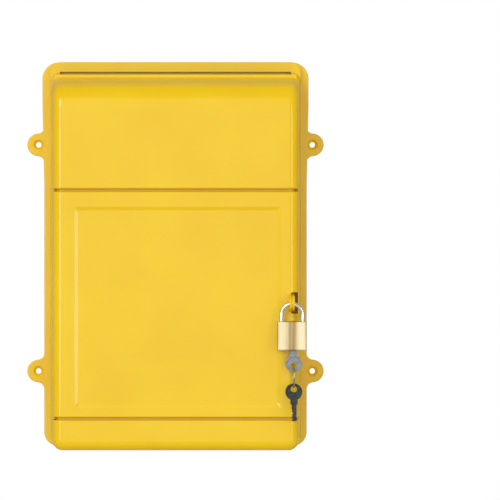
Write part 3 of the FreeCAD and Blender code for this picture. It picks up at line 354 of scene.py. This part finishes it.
def key_metal(name, colour, shade, roughness, bow_centre):
    """Plated key: cloudy tone, tumbling marks, and a coined ring round the bow's centre."""
    made, tree, shader = material(name, colour, 1.0, roughness)
    tone = blend(tree, spread(tree, noise(tree, 2.6), 0, 1), colour, shade)
    place = add(tree, "TexCoord").outputs["Object"]
    flat = add(tree, "VectorMath", {0: place, 1: (1, 0, 1)}, operation="MULTIPLY").outputs["Vector"]
    middle = (bow_centre[0], 0, bow_centre[1])
    away = add(tree, "VectorMath", {0: flat, 1: middle}, operation="DISTANCE").outputs["Value"]
    field = add(tree, "MapRange", {"Value": away, "From Min": BOW_R - RIM - RIM_SLOPE,
                                   "From Max": BOW_R - RIM}, interpolation_type="SMOOTHSTEP")
    marks = noise(tree, 0.3, (1, 1, 6), 4.0)
    tree.links.new(tone, shader.inputs["Base Color"])
    tree.links.new(spread(tree, marks, roughness - 0.05, roughness + 0.14), shader.inputs["Roughness"])
    relief(tree, shader, (field.outputs["Result"], 0.22), (marks, 0.015))
    return made


def bow_middle(name, bow_is_low):
    """Centre of a key's bow in X and Z, from its CAD box."""
    low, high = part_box(name)
    return ((low.x + high.x) / 2, low.z + BOW_R if bow_is_low else high.z - BOW_R)


bright = key_metal("nickel_bright", "#989fac", "#828a98", 0.34, bow_middle("key", True))
# Painted shade: the spare key is the same nickel, coloured dark as if it hung in shadow.
shaded_nickel = key_metal("nickel_painted_shade", "#4e5356", "#383c3f", 0.34, bow_middle("spare_key", False))
finish(bright, "key")
finish(shaded_nickel, "spare_key")
for name in ("key", "spare_key"):
    soften(name, 0.22, 3)


# ---------------------------------------------------------------- split ring: two turns of flat wire
# Hard steel strip coiled twice on itself; the turns lie side by side and cross over once, where the
# ends are cut square. Nickel plated.
def grid_mesh(name, points):
    """Mesh from points [along, across, xyz], closed across and capped at both ends."""
    along, across = points.shape[:2]
    first = np.arange(along - 1)[:, None] * across + np.arange(across)[None, :]
    beside = np.arange(along - 1)[:, None] * across + (np.arange(across)[None, :] + 1) % across
    quads = np.stack([first, beside, beside + across, first + across], axis=-1).reshape(-1, 4)
    caps = [list(range(across))[::-1], list(range((along - 1) * across, along * across))]
    mesh = bpy.data.meshes.new(name)
    mesh.from_pydata(points.reshape(-1, 3).tolist(), [], quads.tolist() + caps)
    mesh.polygons.foreach_set("use_smooth", [True] * len(quads) + [False] * 2)
    piece = bpy.data.objects.new(name, mesh)
    scene.collection.objects.link(piece)
    return piece


def smooth_step(t):
    """Ease from 0 to 1, level at both ends."""
    t = np.clip(t, 0, 1)
    return t * t * (3 - 2 * t)


RING_BAND, RING_TURN, RING_GAP = 1.36 * MM, 0.66 * MM, 0.04 * MM
RING_INSET = 0.75 * MM
RING_TURNS, RING_START = 1.985, -0.9
CROSS_START, CROSS_SPAN = 2 * np.pi - 0.5, 0.9
SQUARED = 0.55
ring_low, ring_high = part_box("split_ring")
ring_middle = (ring_low + ring_high) / 2
ring_mean = (ring_high.z - ring_low.z) / 2 - RING_INSET
turn = np.linspace(0, 2 * np.pi * RING_TURNS, 260)[:, None]
around = np.linspace(0, 2 * np.pi, 20, endpoint=False)[None, :]
side = (smooth_step((turn - CROSS_START) / CROSS_SPAN) - 0.5) * (RING_TURN + RING_GAP)
round_out = np.sign(np.cos(around)) * np.abs(np.cos(around)) ** SQUARED
round_side = np.sign(np.sin(around)) * np.abs(np.sin(around)) ** SQUARED
radius = ring_mean + round_out * RING_BAND / 2
ring_points = np.stack([
    ring_middle.x + side + round_side * RING_TURN / 2,
    ring_middle.y + radius * np.cos(turn + RING_START),
    ring_middle.z + radius * np.sin(turn + RING_START),
], axis=-1)
ring = grid_mesh("ring_of_two_turns", ring_points)
ring.data.materials.append(plated_steel("ring_nickel", "#c9cbcf", "#8f9296", 0.2, 0.3))
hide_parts("split_ring")
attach(ring, "ring")

# ---------------------------------------------------------------- bolt spring: coiled wire
# Hard drawn wire wound into an open coil behind the bolt,
# drawn at its open length and carried with the lock.
SPRING_TURNS, WIRE_R, CLOSED_SHARE = 4.5, 0.15 * MM, 0.44
spring_low, spring_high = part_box("bolt_spring")
spring_middle = (spring_low + spring_high) / 2
coil_radius = (spring_high.z - spring_low.z) / 2 - WIRE_R
wound = np.linspace(0, 1, 220)[:, None]
coil_angle = 2 * np.pi * SPRING_TURNS * wound
wire_radius = coil_radius + WIRE_R * np.cos(around)
coil_start = spring_low.x + WIRE_R
coil_length = spring_high.x - spring_low.x - 2 * WIRE_R
coil_points = np.stack([
    coil_start + coil_length * wound + WIRE_R * np.sin(around),
    spring_middle.y + wire_radius * np.cos(coil_angle),
    spring_middle.z + wire_radius * np.sin(coil_angle),
], axis=-1)
coil = grid_mesh("bolt_coil_spring", coil_points)
coil.data.materials.append(spring_steel)
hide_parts("bolt_spring")
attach(coil, "lock")
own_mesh(coil)
